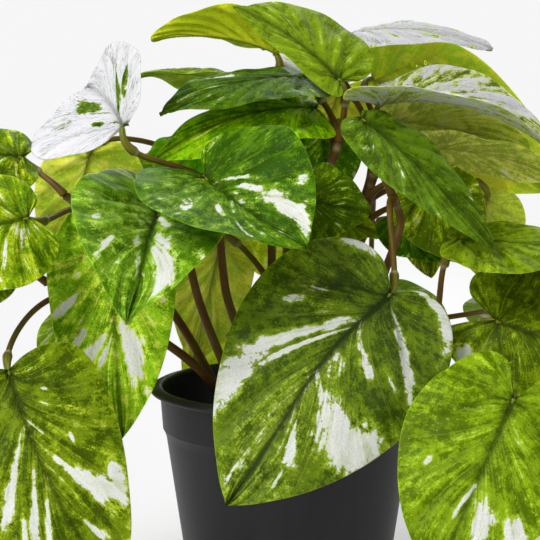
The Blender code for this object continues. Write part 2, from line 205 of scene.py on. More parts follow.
# ---------------------------------------------------------------- nursery pot
# A thin thermoformed polypropylene pot: a rolled lip, a collar that steps in to a tapered wall, and
# a plain flat base. Near-black with a satin skin, a little dusty and scuffed from handling.
RIM_RADIUS = 60.0
POT_HEIGHT = 105.0
LIP_DEPTH = 3.4
COLLAR_TOP_RADIUS = 55.8
COLLAR_FOOT_RADIUS = 54.5
COLLAR_FOOT_HEIGHT = 86.5
BODY_TOP_RADIUS = 53.1
BODY_TOP_HEIGHT = 83.0
BASE_RADIUS = 41.0
POT_WALL = 1.4
POT_FLOOR = 2.0
BASE_ROUND = 2.0
STEP_ROUND = 0.6
LIP_COVE = 0.9
LIP_ROUND = 1.0
LIP_TOP_ROUND = 1.5
MOUTH_ROUND = 1.6
POT_SEGMENTS = 160


def arc(centre, radius, first, last, count):
    """Points on an arc of a profile, from one angle to another in degrees."""
    turns = np.radians(np.linspace(first, last, count))
    return [(centre[0] + radius * math.cos(t), centre[1] + radius * math.sin(t)) for t in turns]


def turned(name, profile, segments, material):
    """A surface of revolution whose profile of (radius, height) starts and ends on the axis."""
    turns = 2 * np.pi * np.arange(segments) / segments
    rings = profile[1:-1]
    points = [(0, 0, profile[0][1])]
    for radius, height in rings:
        points += [(radius * math.cos(t), radius * math.sin(t), height) for t in turns]
    points.append((0, 0, profile[-1][1]))
    last = len(points) - 1
    top = 1 + (len(rings) - 1) * segments
    faces = []
    for k in range(segments):
        after = (k + 1) % segments
        faces.append((0, 1 + after, 1 + k))
        for ring in range(len(rings) - 1):
            near = 1 + ring * segments
            faces.append((near + k, near + after, near + segments + after, near + segments + k))
        faces.append((last, top + k, top + after))
    return add_mesh(name, points, faces, material)


lip_foot = POT_HEIGHT - LIP_DEPTH
pot_outside = [(0, 0), (BASE_RADIUS - 3, 0),
               *arc((BASE_RADIUS - BASE_ROUND, BASE_ROUND), BASE_ROUND, -90, -8, 6),
               (BASE_RADIUS + 5.8, 40), (BODY_TOP_RADIUS - 0.1, BODY_TOP_HEIGHT - 0.6),
               (BODY_TOP_RADIUS + 0.1, BODY_TOP_HEIGHT + 0.2),
               (COLLAR_FOOT_RADIUS - 0.5, COLLAR_FOOT_HEIGHT - 1.1),
               *arc((COLLAR_FOOT_RADIUS - 0.5, COLLAR_FOOT_HEIGHT), STEP_ROUND, -60, 10, 4),
               (COLLAR_TOP_RADIUS - 0.2, lip_foot - 1.0),
               *arc((COLLAR_TOP_RADIUS + 0.7, lip_foot - LIP_COVE), LIP_COVE, 180, 100, 4),
               *arc((RIM_RADIUS - LIP_ROUND, lip_foot + LIP_ROUND + 0.5), LIP_ROUND, -70, 62, 9),
               *arc((RIM_RADIUS - 2.9, POT_HEIGHT - LIP_TOP_ROUND), LIP_TOP_ROUND, 55, 90, 4)]
pot_inside = [*arc((COLLAR_TOP_RADIUS + 0.4, POT_HEIGHT - MOUTH_ROUND), MOUTH_ROUND, 90, 180, 6),
              (COLLAR_TOP_RADIUS - POT_WALL, POT_HEIGHT - 4),
              (COLLAR_FOOT_RADIUS - POT_WALL, COLLAR_FOOT_HEIGHT),
              (BODY_TOP_RADIUS - POT_WALL, BODY_TOP_HEIGHT),
              (BASE_RADIUS - POT_WALL + 0.3, POT_FLOOR), (0, POT_FLOOR)]

black_plastic, pot_shader, start = new_material("black_plastic")
place = start.node("ShaderNodeTexCoord", {}, {}, 3)
height = place.part(2)
round_the_pot = place.node("ShaderNodeMapping", {}, {"Vector": place, "Scale": (1, 1, 0.18)})
streaks = round_the_pot.noise(90, 5)
dust = place.noise(260, 6, 0.7)
scuffs = place.noise(38, 8, 0.75).rise(0.60, 0.78) * dust.rise(0.45, 0.7)
plastic = streaks.rise(0.3, 0.75).mix((0.0085, 0.0085, 0.009), (0.014, 0.014, 0.0145))
plastic = (scuffs * 0.35).mix(plastic, (0.06, 0.059, 0.056))
connect(plastic, pot_shader.inputs["Base Color"])
connect(0.36 + streaks * 0.14 + dust * 0.08 + scuffs * 0.15, pot_shader.inputs["Roughness"])
drawn = (height * 900).join(0.0, 0.0).noise(1, 3)
connect(bump(streaks * 0.6 + dust * 0.12 + drawn * 0.1, 0.25, 0.0006), pot_shader.inputs["Normal"])
pot_shader.inputs["Specular IOR Level"].default_value = 0.3

pot = turned("nursery_pot", pot_outside + pot_inside, POT_SEGMENTS, black_plastic)
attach(pot, "root")
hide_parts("pot")

# ---------------------------------------------------------------- potting soil
# Dark peat and composted bark, lightly pressed down round the stems. The top is uneven, with
# crumbs and bark chips lying on it; the rest fills the pot to its floor.
SOIL_HEIGHT = 88.0
SOIL_CROWN = 1.5
SOIL_EDGE = 52.6
SOIL_FLOOR = 2.4
SOIL_RINGS = 40
SOIL_SEGMENTS = 120
CRUMB_HEIGHT = 0.35
CHIPS = 420
CHIP_SIZES = (0.5, 1.7)
chance = np.random.default_rng(7)


def soil_level(x, y):
    """Height of the smooth, slightly domed top of the soil."""
    share = math.hypot(x, y) / BODY_TOP_RADIUS
    return SOIL_HEIGHT + SOIL_CROWN * (1 - share * share)


def lumps(x, y):
    """Uneven height of the soil's top, from a few crossing waves."""
    return (0.7 * math.sin(0.31 * x + 1.0) * math.sin(0.27 * y + 2.0)
            + 0.5 * math.sin(0.83 * x + 0.4 * y) * math.sin(0.9 * y - 0.3 * x + 1.3)
            + 0.3 * math.sin(2.1 * x + 0.7) * math.sin(1.9 * y))


soil_points = [(0, 0, soil_level(0, 0) + lumps(0, 0))]
soil_faces = []
for ring in range(1, SOIL_RINGS + 1):
    radius = SOIL_EDGE * ring / SOIL_RINGS
    for k in range(SOIL_SEGMENTS):
        turn = 2 * math.pi * k / SOIL_SEGMENTS
        x, y = radius * math.cos(turn), radius * math.sin(turn)
        edge = 1 - (ring / SOIL_RINGS) ** 8
        height = soil_level(x, y) + lumps(x, y) * edge + chance.uniform(-CRUMB_HEIGHT, CRUMB_HEIGHT) * edge
        soil_points.append((x, y, height))
for radius, level in ((SOIL_EDGE, COLLAR_FOOT_HEIGHT), (BODY_TOP_RADIUS - POT_WALL - 0.4, BODY_TOP_HEIGHT),
                      (BASE_RADIUS - POT_WALL, SOIL_FLOOR)):
    for k in range(SOIL_SEGMENTS):
        turn = 2 * math.pi * k / SOIL_SEGMENTS
        soil_points.append((radius * math.cos(turn), radius * math.sin(turn), level))
soil_points.append((0, 0, SOIL_FLOOR))
for k in range(SOIL_SEGMENTS):
    after = (k + 1) % SOIL_SEGMENTS
    soil_faces.append((0, 1 + k, 1 + after))
    for ring in range(SOIL_RINGS + 2):
        near = 1 + ring * SOIL_SEGMENTS
        soil_faces.append((near + k, near + SOIL_SEGMENTS + k, near + SOIL_SEGMENTS + after, near + after))
    last_ring = 1 + (SOIL_RINGS + 2) * SOIL_SEGMENTS
    soil_faces.append((last_ring + k, len(soil_points) - 1, last_ring + after))

chip_corners = np.array([(x, y, z) for x in (-1, 1) for y in (-1, 1) for z in (-1, 1)], float)
chip_faces = [(0, 1, 3, 2), (4, 6, 7, 5), (0, 4, 5, 1), (2, 3, 7, 6), (0, 2, 6, 4), (1, 5, 7, 3)]
for _ in range(CHIPS):
    radius = (SOIL_EDGE - 4) * math.sqrt(chance.uniform(0, 1))
    turn = chance.uniform(0, 2 * math.pi)
    x, y = radius * math.cos(turn), radius * math.sin(turn)
    size = chance.uniform(*CHIP_SIZES)
    shape = chip_corners * size * chance.uniform(0.3, 1.0, 3) * chance.uniform(0.65, 1.2, (8, 1))
    spin, lean = chance.uniform(0, math.pi), chance.uniform(-0.5, 0.5)
    turned_x = shape[:, 0] * math.cos(spin) - shape[:, 1] * math.sin(spin)
    turned_y = shape[:, 0] * math.sin(spin) + shape[:, 1] * math.cos(spin)
    first = len(soil_points)
    for px, py, pz in zip(turned_x, turned_y, shape[:, 2] + turned_x * math.tan(lean)):
        soil_points.append((x + px, y + py, soil_level(x, y) + lumps(x, y) + pz * 0.6 + size * 0.2))
    soil_faces += [tuple(first + corner for corner in face) for face in chip_faces]

peat_and_bark, soil_shader, start = new_material("peat_and_bark")
place = start.node("ShaderNodeTexCoord", {}, {}, 3)
crumbs = place.noise(700, 8, 0.7)
clods = place.noise(160, 6)
peat = clods.rise(0.35, 0.7).mix((0.016, 0.011, 0.007), (0.055, 0.036, 0.021))
peat = crumbs.rise(0.62, 0.75).mix(peat, (0.13, 0.085, 0.05))
connect(peat, soil_shader.inputs["Base Color"])
connect(0.82 + clods * 0.16, soil_shader.inputs["Roughness"])
connect(bump(crumbs + clods * 0.5, 0.8, 0.0012), soil_shader.inputs["Normal"])
soil = add_mesh("potting_soil", soil_points, soil_faces, peat_and_bark)
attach(soil, "root")
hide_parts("soil")

# ---------------------------------------------------------------- vines and leaf stalks
# Twelve vines stand in the soil, each with the stalks of its own leaves. A stalk sheathes its vine
# where it leaves it, and has a swollen joint with a pale ring a little below the blade. The skin is
# smooth and brown-olive, greener towards the leaf, with a faint lengthwise grain.
SOCKET_DEPTH = 12.0
VINE_RADIUS = 2.1
VINE_TOP_RADIUS = 1.6
STALK_RADIUS = 1.3
COLLAR_RADIUS = 2.3
COLLAR_BELOW_LEAF = 15.0
STALK_END_RADIUS = 1.0
SHEATH_THICKNESS = 0.75
SHEATH_LENGTH = 7.0
JOINT_SWELLING = 0.45
JOINT_LENGTH = 2.6
RING_HEIGHT = 0.12
RING_LENGTH = 0.7
LEAF_THICKNESS = 0.5
GAP = 0.3                       # between a blade's underside and the end of its stalk
# Right half of a leaf from its notch round to its tip: across in half widths, along in lengths
HALF_OUTLINE = [(0.0, 0.0), (0.24, -0.085), (0.56, -0.085), (0.85, 0.02), (1.0, 0.19), (0.98, 0.38),
                (0.83, 0.58), (0.57, 0.77), (0.24, 0.92), (0.0, 1.0)]
# Each vine: the place where it stands in the soil, then the points it passes through
VINES = {
    "vine_left_low": [(-24, -14), (-35, -22, 112), (-52, -25, 127), (-76, -25, 142), (-101, -28, 153)],
    "vine_left_front": [(-16, -20), (-28, -24, 119), (-38, -26, 146), (-43, -28, 170), (-45, -34, 186)],
    "vine_left": [(-26, 2), (-44, -6, 128), (-64, -14, 158), (-80, -20, 176), (-93, -30, 190)],
    "vine_centre_left": [(-6, -14), (-16, -18, 118), (-26, -22, 146), (-29, -22, 172), (-32, -26, 194)],
    "vine_centre": [(3, -6), (6, -12, 135), (13, -16, 185), (21, -15, 211)],
    "vine_centre_back": [(-5, 10), (-7, 14, 140), (-7, 17, 195), (-5, 18, 226)],
    "vine_right_front": [(16, -16), (30, -28, 128), (40, -34, 160), (46, -30, 178), (42, -32, 190)],
    "vine_right_low": [(26, -2), (40, -20, 118), (54, -36, 132), (66, -42, 135)],
    "vine_right": [(14, 8), (26, 8, 138), (34, 6, 182), (38, -2, 204)],
    "vine_back_right": [(12, 24), (24, 30, 132), (34, 28, 182), (40, 26, 208)],
    "vine_back_left": [(-16, 20), (-28, 30, 130), (-34, 34, 172), (-34, 32, 200)],
    "vine_back": [(-2, 28), (-2, 38, 124), (0, 44, 168), (0, 44, 208)],
}


def leaf(vine, along, base, tip, face, width, arch=25, fold=(0, 0), curl=-12, twist=0, sway=0, lobe=1.0,
         wave=1.0, halves=(1, 1), stalk=0.35, bow=0, **look):
    """One leaf: its vine and how far up it grows, then the blade's base, tip, facing and width. In degrees,
    the arch of the midrib, the fold of each half, the curl of the margins and the twist. Then the sideways
    sway, the size of the lobes, the height of the waves, each half's share of the width, how far the stalk
    swings out, the midrib's bow across the blade, and the look."""
    return dict(vine=vine, along=along, base=base, tip=tip, face=face, width=width, arch=arch, fold=fold,
                curl=curl, twist=twist, sway=sway, lobe=lobe, wave=wave, halves=halves, stalk=stalk, bow=bow,
                look=look)


# A look: the tone of green, a tint on its red and green, the shares of bright green, lime and cream, the
# sheen, how dark the midrib and first side veins are painted as shade in their grooves (rib), and how
# bright the white of a silvery leaf is (silver). The tint and the white's brightness are set leaf by leaf
# to how bright each leaf looks where it sits, so they carry painted light and shade as well as colour:
# shaded and back-lit leaves are raised many times over. A patch of cream is its place along the veins
# and across, its reach, spread and slant, and how full it is (solid if left out, broken at 0, only lime
# specks below that). Islands are given alike, but stay green.
LEAVES = [
    # Front: the big leaf over the pot, then the two beside it
    leaf("vine_right_front", 0.95, (40, -66, 154), (-25, -98, 76), (0.1, -1, 0.35), 90, arch=22, curl=-14,
         halves=(0.88, 1), bow=0.1, tone="deep", tint=(0.94, 0.94), bright=0.46, lime=0.2, cream=0.0,
         sheen=0.12, rib=0.95,
         # Some of these cream patches, such as the narrow strip beside the midrib, also stand in for painted
         # sheen where raised folds catch the light.
         patches=((0.27, 0.42, 0.024, 0.38, 0.03), (0.325, 0.3, 0.014, 0.26, 0.03),
                  (0.255, 0.17, 0.035, 0.08, 0, 0.3), (0.345, 0.88, 0.05, 0.3, 0.08),
                  (-0.17, 0.98, 0.06, 0.1, 0), (0.13, 0.6, 0.014, 0.07, 0.05, 0.1),
                  (0.62, 0.4, 0.12, 0.5, 0, -0.45), (0.585, 0.62, 0.012, 0.26, -0.1, 0.15),
                  (0.345, -0.62, 0.055, 0.44, 0.2), (0.295, -0.82, 0.055, 0.28, 0.1),
                  (0.4, -0.1, 0.04, 0.07, 0.5, 0.0), (0.49, -0.1, 0.014, 0.12, 0.4, 0.4),
                  (0.555, -0.31, 0.02, 0.2, 0.3), (0.56, -0.6, 0.1, 0.4, 0, -0.5),
                  (0.44, -0.34, 0.012, 0.1, 0.2), (0.22, -0.33, 0.022, 0.1, 0.15, 0.4),
                  (0.25, -0.13, 0.012, 0.13, 0.25, 0.1), (0.05, -0.56, 0.024, 0.27, -0.3, 0.4),
                  (-0.17, -0.94, 0.13, 0.07, 0), (0.52, -0.6, 0.008, 0.13, 0.1))),
    leaf("vine_right_low", 0.30, (85, -98, 118), (53, -124, 53), (-0.1, -1, 0.45), 70, arch=30, lobe=2.2,
         stalk=0.15, tone="fresh", tint=(1.15, 1.15), bright=0.5, lime=0.3, cream=0.0,
         patches=((0.52, -0.3, 0.06, 0.19, 0.3), (0.62, 0.07, 0.03, 0.08, 0.2),
                  (0.28, 0.62, 0.016, 0.05, 0), (0.35, -0.75, 0.03, 0.2, 0.1))),
    leaf("vine_right_low", 0.99, (83, -54, 141), (156, -68, 110), (0.1, -1, 0.5), 74, fold=(-8, -12),
         lobe=2.2, halves=(1, 0.85), tone="deep", tint=(1.5, 1.35), bright=0.4, lime=0.1, cream=0.0,
         patches=((-0.1, 0.85, 0.05, 0.12, 0), (0.3, 0.8, 0.03, 0.15, 0))),
    leaf("vine_left_low", 0.88, (-110, -82, 126), (-66, -108, 42), (0.1, -1, 0.35), 68, arch=24, sway=4,
         lobe=0.4, tone="deep", tint=(1.2, 1.12), bright=0.46, lime=0.25, cream=0.0,
         patches=((0.37, -0.56, 0.034, 0.38, 0.12), (0.32, -0.85, 0.05, 0.13, 0),
                  (0.55, -0.36, 0.014, 0.17, 0.25), (0.06, -0.41, 0.012, 0.03, 0),
                  (0.25, -0.42, 0.02, 0.02, 0), (0.31, 0.45, 0.025, 0.35, -0.03),
                  (0.42, 0.4, 0.018, 0.33, -0.1), (0.37, 0.7, 0.012, 0.2, 0), (0.5, 0.3, 0.014, 0.2, -0.2),
                  (0.2, 0.8, 0.02, 0.15, 0))),
    leaf("vine_left_front", 0.90, (-72, -44, 180), (-67, -66, 95), (-0.15, -1, 0.25), 60, fold=(-8, -8),
         halves=(0.85, 1), tone="middle", tint=(1.95, 1.85), bright=0.42, lime=0.22, cream=0.05,
         patches=((0.48, -0.35, 0.085, 0.25, 0.2), (0.33, 0.6, 0.02, 0.16, -0.1),
                  (0.43, 0.42, 0.022, 0.32, -0.3), (0.55, 0.2, 0.02, 0.16, -0.3),
                  (0.35, 0.2, 0.3, 0.8, 0, -0.55), (0.1, -0.1, 0.03, 0.08, 0), (0.2, 0.75, 0.02, 0.2, 0))),
    leaf("vine_left_front", 1.0, (-53, -48, 184), (-61, -114, 149), (0.18, -1.0, 0.62), 76, arch=24,
         fold=(46, 27), curl=-23, sway=-1, lobe=3.6, halves=(0.92, 0.95), bow=0.05, tone="middle",
         tint=(1.22, 1.24), bright=0.42, lime=0.22, cream=0.05,
         patches=((0.46, -0.47, 0.075, 0.38, 0.0), (0.42, -0.2, 0.1, 0.12, 0.2, 0.5),
                  (0.19, -0.19, 0.05, 0.08, -0.5, 0.5), (0.36, -0.12, 0.06, 0.05, 0, 0.3),
                  (0.6, 0.09, 0.07, 0.035, -0.6, 0.4), (0.45, 0.13, 0.04, 0.05, -0.5, 0.3),
                  (0.355, 0.58, 0.018, 0.12, 0.1, 0.6), (0.385, 0.8, 0.012, 0.15, 0.05, 0.3),
                  (0.22, 0.68, 0.02, 0.06, 0.1, 0.1), (0.12, -0.79, 0.045, 0.05, 0, 0.4),
                  (0.02, -0.53, 0.02, 0.1, 0.1, 0.1), (0.32, -0.85, 0.015, 0.12, 0, 0.1),
                  (0.35, 0.3, 0.22, 0.4, 0, -0.5))),
    leaf("vine_centre_left", 1.0, (-34, -56, 199), (6, -97, 175), (-0.45, -1.0, 0.97), 86, arch=25,
         fold=(7, 46), curl=-12, sway=2, lobe=2.4, halves=(0.85, 0.89), tone="glossy", tint=(0.93, 0.96),
         bright=0.38, lime=0.2, cream=0.0,
         patches=((0.51, -0.6, 0.062, 0.42, -0.08), (0.47, -0.38, 0.085, 0.16, 0, 0.6),
                  (0.36, -0.23, 0.05, 0.07, -0.3, 0.4), (0.235, -0.24, 0.03, 0.1, -0.5, 0.8),
                  (0.355, 0.38, 0.02, 0.11, 0.15, 0.5), (0.435, 0.72, 0.012, 0.12, 0.05, 0.1),
                  (0.2, 0.62, 0.025, 0.12, 0.1, 0.0), (0.34, -0.75, 0.02, 0.14, 0, -0.1),
                  (0.5, -0.06, 0.1, 0.04, 0, -0.1), (0.2, 0.5, 0.2, 0.4, 0, -0.5),
                  (0.5, 0.45, 0.2, 0.3, 0, -0.55), (-0.2, -0.93, 0.04, 0.06, 0, -0.3))),
    # Crown: leaves that arch to the left behind the front ones
    leaf("vine_centre", 0.93, (12, -4, 224), (-58, -33, 202), (-0.1, -0.7, 1), 50, arch=56, lobe=0.3,
         halves=(0.9, 0.5), tone="glossy", tint=(4.2, 3.6), bright=0.5, lime=0.14, cream=0.03),
    leaf("vine_centre", 1.0, (8, -4, 237), (-53, -36, 223), (-0.1, -0.35, 1), 46, arch=35, tone="glossy",
         tint=(0.95, 0.85), bright=0.4, lime=0.12, cream=0.05,
         patches=((0.3, 0.6, 0.03, 0.2, 0.1),)),
    leaf("vine_centre_back", 0.95, (-16, 44, 232), (-70, 23, 236), (-0.02, -0.18, 1.0), 52, arch=29,
         fold=(25, -6), curl=-30, sway=3, lobe=0.4, halves=(1.05, 1.15), tone="fresh", tint=(1.3, 1.25),
         bright=0.35, lime=0.3, cream=0.0),
    leaf("vine_centre_back", 1.0, (-5, 28, 248), (-61, 38, 253), (0, 0.1, 1), 54, arch=35, fold=(50, 5),
         halves=(0.66, 1), tone="fresh", tint=(2.1, 1.75), bright=0.7, lime=0.35, cream=0.0),
    leaf("vine_centre", 1.0, (22, -22, 236), (-24, 8, 267), (0.2, -0.9, 0.8), 54, arch=40, fold=(-15, -5),
         lobe=0.7, halves=(0.35, 1), tone="fresh", tint=(1.0, 0.97), bright=0.6, lime=0.3, cream=0.0),
    # Crown: leaves that arch to the right
    leaf("vine_right", 1.0, (24, 26, 255), (86, -5, 249), (0.1, -0.3, 1), 44, arch=35, tone="deep",
         tint=(1.6, 1.6), bright=0.3, lime=0.1, cream=0.8, silver=0.72),
    leaf("vine_back_right", 1.0, (38, 48, 236), (118, 45, 184), (0.4, 0.9, 0.5), 78, arch=35, tone="yellow",
         tint=(3.4, 3.8), bright=0.5, lime=0.4, cream=0.0),
    leaf("vine_right", 0.97, (37, -20, 227), (106, -40, 209), (0, -0.6, 1), 56, arch=60, fold=(5, 48),
         tone="yellow", tint=(0.75, 0.75), bright=0.3, lime=0.1, cream=0.6, silver=0.75),
    leaf("vine_right", 0.92, (42, 2, 219), (107, 12, 204), (0.1, 0.7, 0.8), 46, arch=30, tone="yellow",
         tint=(1.35, 1.5), bright=0.35, lime=0.6, cream=0.1),
    leaf("vine_right", 0.85, (59, -2, 208), (119, -14, 193), (0, 0.5, 1), 46, arch=30, tone="yellow",
         tint=(1.25, 1.35), bright=0.35, lime=0.5, cream=0.15),
    leaf("vine_back_right", 0.85, (56, 38, 204), (101, 42, 168), (0.4, 0.9, 0.5), 50, tone="yellow",
         tint=(9, 9), bright=0.4, lime=0.3, cream=0.0),
    leaf("vine_right_front", 1.0, (29, -42, 222), (80, -68, 172), (0.15, -0.8, 0.5), 46, arch=30,
         fold=(-20, -10), lobe=0.6, halves=(0.75, 0.62), tone="fresh", tint=(0.56, 0.65), bright=0.5,
         lime=0.2, cream=0.05),
    leaf("vine_right", 0.75, (56, -18, 194), (78, -26, 160), (0, -0.8, 0.5), 40, tone="deep",
         tint=(2.2, 2.1), bright=0.3, lime=0.1, cream=0.03),
    leaf("vine_right_low", 0.80, (68, -48, 173), (127, -60, 166), (0, -0.3, 1), 50, arch=20, tone="fresh",
         tint=(1.05, 1.0), bright=0.5, lime=0.2, cream=0.0),
    leaf("vine_back_right", 0.70, (88, 22, 184), (86, 16, 148), (0.1, 0.9, 0.3), 34, tone="yellow",
         tint=(1.8, 1.8), bright=0.4, cream=0.1),
    leaf("vine_right", 0.60, (44, -6, 178), (68, -14, 160), (0.2, -0.8, 0.6), 28, tone="deep",
         tint=(1.2, 1.9), bright=0.2, cream=0.0),
    leaf("vine_right", 0.65, (57, 10, 180), (62, 8, 150), (0.2, -0.9, 0.4), 26, tone="yellow",
         tint=(1.5, 1.2), bright=0.3, cream=0.0),
    # Inner leaves around the middle
    leaf("vine_centre", 0.80, (-1, -34, 188), (33, -42, 183), (0.1, -0.8, 0.7), 44, tone="deep",
         tint=(1.3, 1.45), bright=0.3, cream=0.0),
    leaf("vine_centre", 0.65, (21, -4, 176), (40, -8, 170), (0.1, -0.5, 0.9), 22, tone="deep", tint=(9, 7),
         bright=0.2, cream=0.0),
    leaf("vine_centre_left", 0.97, (-67, -46, 219), (-86, 2, 233), (0.3, -0.15, 1), 76, fold=(-35, 95),
         lobe=1.4, halves=(1, 0.74), tone="glossy", tint=(0.9, 0.8), bright=0.4, lime=0.2, cream=1.0,
         silver=1,
         islands=((0.43, -0.27, 0.1, 0.14, -0.1), (0.1, -0.3, 0.03, 0.05, 0.1),
                  (0.24, 0.3, 0.03, 0.25, 0.1), (0.12, 0.55, 0.025, 0.2, 0.1))),
    leaf("vine_left", 1.0, (-110, -25, 205), (-165, -38, 204), (-0.2, -0.6, 0.8), 44, tone="glossy",
         tint=(3.2, 2.0), bright=0.3, lime=0.1, cream=0.03),
    leaf("vine_left", 0.85, (-103, -66, 184), (-156, -85, 166), (-0.1, -0.8, 0.6), 58, lobe=1.3,
         tone="glossy", tint=(1.9, 1.4), bright=0.6, lime=0.4, cream=0.2),
    leaf("vine_left_low", 1.0, (-118, -48, 166), (-158, -60, 150), (-0.1, -0.7, 0.7), 44, tone="deep",
         bright=0.3, cream=0.1),
    leaf("vine_back_left", 0.90, (-88, 22, 203), (-100, 8, 150), (-0.1, 0.9, 0.3), 62, lobe=1.6,
         halves=(0.62, 1), tone="yellow", tint=(2.7, 2.9), bright=0.4, lime=0.5, cream=0.0),
    leaf("vine_centre_back", 0.45, (-30, 18, 166), (-42, 14, 110), (0, 0.9, 0.2), 36, tone="yellow",
         tint=(3.0, 3.2), bright=0.45, lime=0.5, cream=0.0),
    leaf("vine_centre_left", 0.88, (-31, -8, 208), (-62, -12, 202), (0, -0.5, 1), 38, tone="glossy",
         tint=(8.0, 9.0), bright=0.2, cream=0.0),
    leaf("vine_centre_back", 0.80, (14, 10, 216), (18, 2, 182), (0.1, -0.9, 0.3), 34, tone="deep",
         tint=(2.2, 3.6), bright=0.2, cream=0.0),
    leaf("vine_centre_back", 0.98, (14, 54, 230), (6, 68, 258), (0.1, -0.8, 0.4), 36, tone="middle",
         bright=0.4, lime=0.1, cream=0.95),
    leaf("vine_back_right", 0.95, (22, 36, 230), (12, 34, 198), (0, 0.9, 0.3), 30, tone="yellow",
         tint=(7.5, 9.0), bright=0.3, cream=0.1),
    # Back of the plant
    leaf("vine_back", 0.80, (-2, 64, 184), (6, 113, 128), (0, 0.8, 0.7), 70, tone="deep", tint=(2.6, 2.8),
         bright=0.35, cream=0.35),
    leaf("vine_back_left", 0.80, (-44, 56, 178), (-72, 108, 116), (-0.4, 0.8, 0.6), 66, tone="middle",
         tint=(1.1, 1.4), bright=0.4, cream=0.25),
    leaf("vine_back_right", 0.75, (46, 88, 134), (60, 118, 66), (0.4, 0.8, 0.6), 66, tone="middle",
         tint=(1.2, 1.2), bright=0.45, cream=0.3),
    leaf("vine_back", 0.45, (-16, 66, 122), (-24, 100, 46), (-0.1, 1, 0.4), 64, tone="fresh",
         tint=(2.4, 2.8), bright=0.5, cream=0.3),
    leaf("vine_back", 0.40, (32, 62, 116), (42, 92, 42), (0.3, 1, 0.4), 58, tone="deep", bright=0.3,
         cream=0.4),
    leaf("vine_back_left", 0.50, (-74, 28, 146), (-108, 66, 88), (-0.6, 0.7, 0.6), 62, tone="deep",
         tint=(1.5, 1.6), bright=0.3, cream=0.3),
    leaf("vine_back_right", 0.25, (98, 26, 136), (128, 60, 86), (0.6, 0.7, 0.6), 56, tone="middle",
         bright=0.5, cream=0.3),
    leaf("vine_back", 0.97, (-4, 76, 222), (-14, 124, 200), (0, 0.3, 1), 60, arch=40, tone="fresh",
         bright=0.5, cream=0.4),
    leaf("vine_back_left", 1.0, (-46, 60, 201), (-98, 90, 168), (-0.3, 0.5, 1), 54, arch=28, tone="middle",
         bright=0.45, cream=0.3),
    leaf("vine_back", 0.84, (52, 92, 206), (92, 122, 180), (0.3, 0.5, 1), 54, arch=35, tone="fresh",
         bright=0.5, cream=0.2),
]


def smooth_route(points, steps):
    """Points along a smooth curve through the given ones."""
    ends = [points[0] * 2 - points[1]] + list(points) + [points[-1] * 2 - points[-2]]
    route = []
    for a, b, c, d in zip(ends, ends[1:], ends[2:], ends[3:]):
        for k in range(steps):
            u = k / steps
            route.append(0.5 * (2 * b + (c - a) * u + (2 * a - 5 * b + 4 * c - d) * u * u
                                + (3 * b - a - 3 * c + d) * u ** 3))
    return route + [points[-1]]


def outline_at(share):
    """Half width and distance along at a share of the way round the margin, smoothly."""
    spots = np.linspace(0, 1, len(HALF_OUTLINE))
    table = np.array(HALF_OUTLINE)
    slopes = np.gradient(table, spots, axis=0)
    k = np.clip(np.searchsorted(spots, share, side="right") - 1, 0, len(spots) - 2)
    step = spots[1]
    u = ((share - spots[k]) / step)[..., None]
    return ((2 * u ** 3 - 3 * u ** 2 + 1) * table[k] + (u ** 3 - 2 * u ** 2 + u) * step * slopes[k]
            + (3 * u ** 2 - 2 * u ** 3) * table[k + 1] + (u ** 3 - u ** 2) * step * slopes[k + 1])


def blade(row, share, across):
    """Points, normals, distance out from the midrib and distance along it, for a share from notch to
    tip (0 to 1) and across (-1 to 1)."""
    base, tip = np.array(row["base"], float), np.array(row["tip"], float)
    chord = np.linalg.norm(tip - base)
    ahead = (tip - base) / chord
    face = np.array(row["face"], float)
    face = face - ahead * face.dot(ahead)
    face /= np.linalg.norm(face)
    right = np.cross(ahead, face)
    margin = outline_at(share)
    along_margin = np.where(margin[..., 1] < 0, margin[..., 1] * row["lobe"], margin[..., 1])
    midrib = share ** 1.4
    along = midrib + (along_margin - midrib) * np.abs(across) ** 1.25
    half = row["width"] / 2
    share_of_half = np.where(across < 0, row["halves"][0], row["halves"][1])
    out = np.abs(across) * margin[..., 0] * half * share_of_half
    # midrib: an arc over the chord
    bend = math.radians(max(row["arch"], 1))
    radius = chord / (2 * math.sin(bend / 2))
    slope = bend / 2 - bend * along
    forward = radius * (math.sin(bend / 2) - np.sin(slope))
    rise = radius * (np.cos(slope) - math.cos(bend / 2))
    # halves: folded at the midrib and rolled towards the margin
    fold = np.radians(np.where(across < 0, row["fold"][0], row["fold"][1]))
    roll = math.radians(row["curl"] if abs(row["curl"]) > 0.5 else 0.5) / half
    lean = fold + roll * out
    side = np.sign(across) * (np.sin(lean) - np.sin(fold)) / roll
    lift = (np.cos(fold) - np.cos(lean)) / roll
    lift = lift + row["wave"] * across ** 2 * np.sin(9 * along + 1.5 * np.sign(across))
    turn = math.radians(row["twist"]) * along
    side, lift = side * np.cos(turn) - lift * np.sin(turn), side * np.sin(turn) + lift * np.cos(turn)
    side = side + row["sway"] * np.sin(math.pi * np.clip(along, 0, 1))
    up = face * np.cos(slope)[..., None] - ahead * np.sin(slope)[..., None]
    points = (base + ahead * forward[..., None] + face * rise[..., None]
              + right * side[..., None] + up * lift[..., None])
    leaning = np.sign(across) * lean + turn
    normals = up * np.cos(leaning)[..., None] - right * np.sin(leaning)[..., None]
    return points, normals, out * np.sign(across), along * chord


